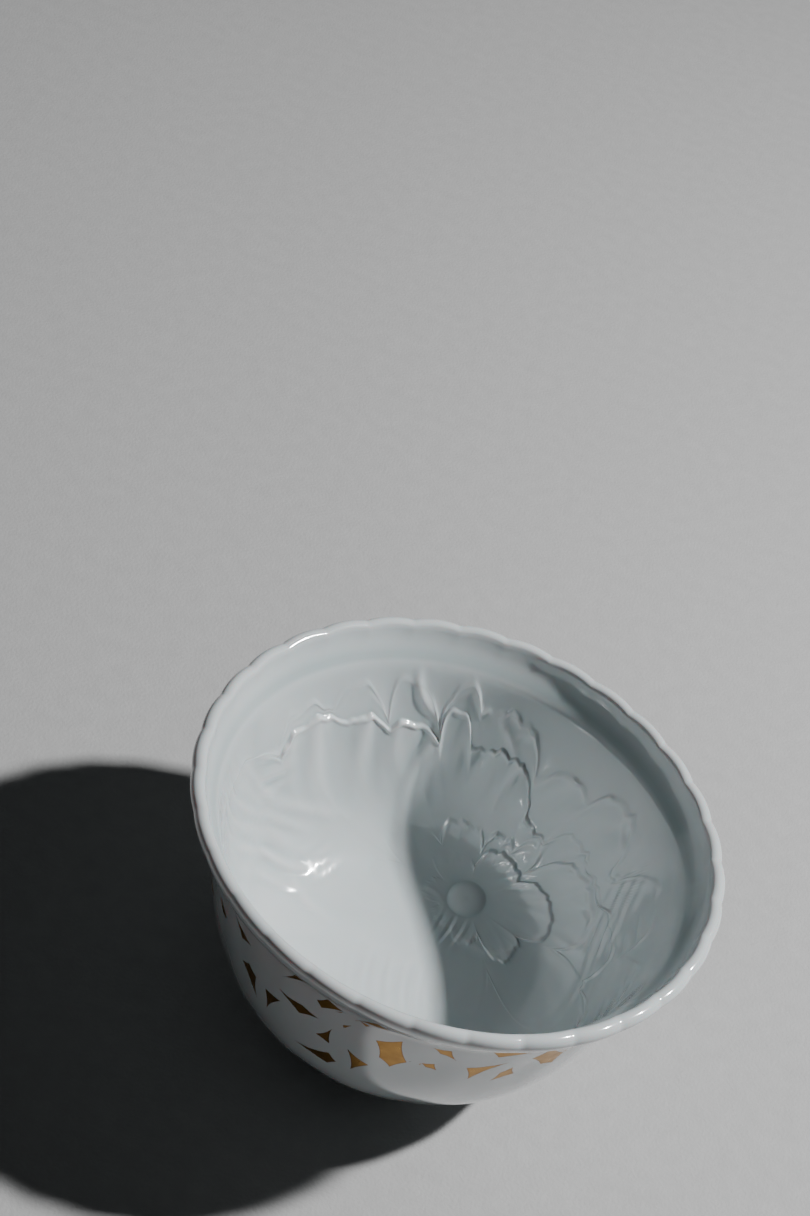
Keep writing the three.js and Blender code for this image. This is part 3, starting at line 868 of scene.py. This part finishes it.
def ripple_group():
    """The height of a fired glaze, in metres: a slow ripple and a fine orange peel."""
    group, start, end = new_group(
        "glaze ripple", [("Slow", FLOAT, 1.0), ("Fine", FLOAT, 1.0)], [("Height", FLOAT)],
    )
    slow = maths(group, "MULTIPLY", clouds(group, 170.0, 2.0), start.outputs["Slow"])
    fine = maths(group, "MULTIPLY", clouds(group, 900.0, 1.0), start.outputs["Fine"])
    group.links.new(maths(group, "ADD", slow, fine), end.inputs["Height"])
    return group


def gold_group():
    """Where the gold lies and how it looks: the most of the six distances at a point is below zero on a
    shard. A fine noise frays its edge. The leaf is thin and dark at the rim and cloudy inside."""
    group, start, end = new_group(
        "gold shards", [("Gold", COLOUR, (1, 0.6, 0.2, 1)), ("Lacquer", COLOUR, (0.2, 0.05, 0.02, 1))],
        [("Mask", FLOAT), ("Colour", COLOUR), ("Roughness", FLOAT)],
    )
    most = None
    for name in ("shard_sides_a", "shard_sides_b"):
        read = node(group, "ShaderNodeAttribute", attribute_name=name).outputs["Vector"]
        for part in node(group, "ShaderNodeSeparateXYZ", {0: read}).outputs:
            most = part if most is None else maths(group, "MAXIMUM", most, part)
    fray = maths(group, "MULTIPLY", maths(group, "SUBTRACT", clouds(group, 2400.0, 3.0), 0.5), FRAY)
    distance = maths(group, "ADD", most, fray)
    mask = ramp(group, distance, SOFT_EDGE, -SOFT_EDGE)
    rim = ramp(group, distance, RIM_FROM, RIM_TO)
    cloud = clouds(group, 420.0, 4.0)
    gold, lacquer = start.outputs["Gold"], start.outputs["Lacquer"]
    leaf_colour = mixed(group, maths(group, "MULTIPLY", cloud, LACQUER_IN_LEAF), gold, lacquer)
    colour = mixed(group, maths(group, "MULTIPLY", rim, LACQUER_AT_RIM), leaf_colour, lacquer)
    roughness = scaled(group, cloud, LEAF_ROUGHNESS_SPREAD, LEAF_ROUGHNESS)
    group.links.new(mask, end.inputs["Mask"])
    group.links.new(colour, end.inputs["Colour"])
    group.links.new(roughness, end.inputs["Roughness"])
    return group


GROUPS = {made.name: made for made in (
    glaze_tint_and_shade_group(), kiln_specks_group(), ripple_group(), gold_group(),
)}
print("groups:", sorted(GROUPS))


def fill(tree, name, inputs):
    """A group placed in a tree, with its own values."""
    return node(tree, "ShaderNodeGroup", inputs, node_tree=GROUPS[name])


# %% Glazed porcelain
# The deep colour also paints the shade in the band past the crease under the mouth.
THIN_GLAZE, DEEP_GLAZE_AND_SHADE = (0.56, 0.595, 0.605, 1), (0.34, 0.41, 0.42, 1)
IRON, SPECK_STRENGTH = (0.3, 0.24, 0.18, 1), 0.35
WARM_CLAY, PALE_CLAY = (0.62, 0.56, 0.47, 1), (0.74, 0.69, 0.6, 1)
GOLD, LACQUER = (0.55, 0.3, 0.06, 1), (0.16, 0.055, 0.015, 1)
GLAZE_ROUGHNESS, GLAZE_ROUGHNESS_SPREAD, CLAY_ROUGHNESS = 0.09, 0.1, 0.72


def porcelain():
    """White clay under a tinted glaze and a clear coat. The shards turn it to gold, which has no coat, and
    the wiped foot to bare rough clay."""
    material = bpy.data.materials.new("glazed_porcelain")
    material.use_nodes = True
    tree = material.node_tree
    shader = tree.nodes["Principled BSDF"]
    # The depth read here also holds painted shade past the crease under the mouth.
    pool_and_shade_read = node(tree, "ShaderNodeAttribute", attribute_name="glaze_pool_and_crease_shade").outputs["Fac"]
    bare_read = node(tree, "ShaderNodeAttribute", attribute_name="bare_clay").outputs["Fac"]
    glaze = fill(tree, "glaze tint and crease shade", {
        "Pool and shade": pool_and_shade_read, "Thin": THIN_GLAZE, "Deep and shaded": DEEP_GLAZE_AND_SHADE, "Cloud": 0.45,
    }).outputs["Colour"]
    specks = fill(tree, "kiln specks", {"Size": 0.05}).outputs["Mask"]
    speckled = mixed(tree, maths(tree, "MULTIPLY", specks, SPECK_STRENGTH), glaze, IRON)
    clay = mixed(tree, clouds(tree, 700.0, 3.0), WARM_CLAY, PALE_CLAY)
    body = mixed(tree, bare_read, speckled, clay)
    gold = fill(tree, "gold shards", {"Gold": GOLD, "Lacquer": LACQUER})
    mask = gold.outputs["Mask"]
    colour = mixed(tree, mask, body, gold.outputs["Colour"])
    glaze_roughness = scaled(tree, clouds(tree, 240.0, 2.0), GLAZE_ROUGHNESS_SPREAD, GLAZE_ROUGHNESS)
    dull = node(tree, "ShaderNodeMix", {0: bare_read, 2: glaze_roughness, 3: CLAY_ROUGHNESS}).outputs[0]
    roughness = node(tree, "ShaderNodeMix", {0: mask, 2: dull, 3: gold.outputs["Roughness"]}).outputs[0]
    covered = maths(tree, "SUBTRACT", 1.0, maths(tree, "MAXIMUM", mask, bare_read))
    ripple = fill(tree, "glaze ripple", {"Slow": 0.00005, "Fine": 0.000004}).outputs["Height"]
    bump = node(tree, "ShaderNodeBump", {"Height": ripple, "Distance": 1.0, "Strength": 0.6})
    for socket, value in (
        ("Base Color", colour), ("Roughness", roughness), ("Metallic", mask), ("Coat Weight", covered),
        ("Normal", bump.outputs[0]),
    ):
        tree.links.new(value, shader.inputs[socket])
    shader.inputs["IOR"].default_value = 1.5
    shader.inputs["Coat Roughness"].default_value = 0.04
    shader.inputs["Coat IOR"].default_value = 1.5
    shader.inputs["Subsurface Weight"].default_value = 0.2
    shader.inputs["Subsurface Scale"].default_value = 0.003
    return material


bowl.data.materials.append(porcelain())
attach(bowl, "root")
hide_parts("tea_bowl")

# %% [markdown]
# ## Floor and light
#
# The floor is a plain pale sheet. One soft light stands high at the right, as in the photograph: it rakes
# over the petals on the left of the inside and leaves the right in shade, which brings out the relief. Two
# broad weak lights, one high at the left and one low at the far left, fill the shade.

# %% Floor
FLOOR_REACH = 1500
DARK_FLOOR, PALE_FLOOR = (0.31, 0.31, 0.31, 1), (0.37, 0.37, 0.37, 1)


def plain_floor():
    """A level square under the foot, mottled a little by a soft noise."""
    corners = np.array([(-1, -1, 0), (1, -1, 0), (1, 1, 0), (-1, 1, 0)]) * FLOOR_REACH
    floor = mesh_of("floor", corners, np.array([(0, 1, 2, 3)]), np.zeros((0, 3), int))
    material = bpy.data.materials.new("pale_floor")
    material.use_nodes = True
    tree = material.node_tree
    shader = tree.nodes["Principled BSDF"]
    colour = mixed(tree, clouds(tree, 260.0, 4.0), DARK_FLOOR, PALE_FLOOR)
    tree.links.new(colour, shader.inputs["Base Color"])
    grain = clouds(tree, 1400.0, 3.0)
    bump = node(tree, "ShaderNodeBump", {"Height": grain, "Distance": 0.0002, "Strength": 0.5})
    tree.links.new(bump.outputs[0], shader.inputs["Normal"])
    shader.inputs["Roughness"].default_value = 0.75
    floor.data.materials.append(material)


plain_floor()

# %% Lights
def soft_light(name, azimuth_deg, elevation_deg, distance, size, power, colour=(1, 1, 1)):
    """A square light on a sphere round the bowl, facing it."""
    light = bpy.data.lights.new(name, "AREA")
    light.shape = "SQUARE"
    light.size, light.energy, light.color = size, power, colour
    lamp = bpy.data.objects.new(name, light)
    bpy.context.scene.collection.objects.link(lamp)
    a, e = np.radians(azimuth_deg), np.radians(elevation_deg)
    toward = Vector((np.cos(a) * np.cos(e), np.sin(a) * np.cos(e), np.sin(e)))
    lamp.location = toward * distance + Vector((0, 0, HEIGHT * MM / 2))
    lamp.rotation_mode = "QUATERNION"
    lamp.rotation_quaternion = toward.to_track_quat("Z", "Y")


soft_light("key", 20, 49, 0.9, 0.05, 16.5)
soft_light("overhead", 200, 60, 1.1, 0.8, 0.15, (0.9, 0.98, 1))
soft_light("far left", 150, 22, 1.2, 0.8, 0.6, (0.9, 0.98, 1))
world = bpy.data.worlds.new("studio")
bpy.context.scene.world = world
world.use_nodes = True
background = world.node_tree.nodes["Background"].inputs
background["Color"].default_value = (0.8, 0.84, 0.88, 1)
background["Strength"].default_value = 0.02
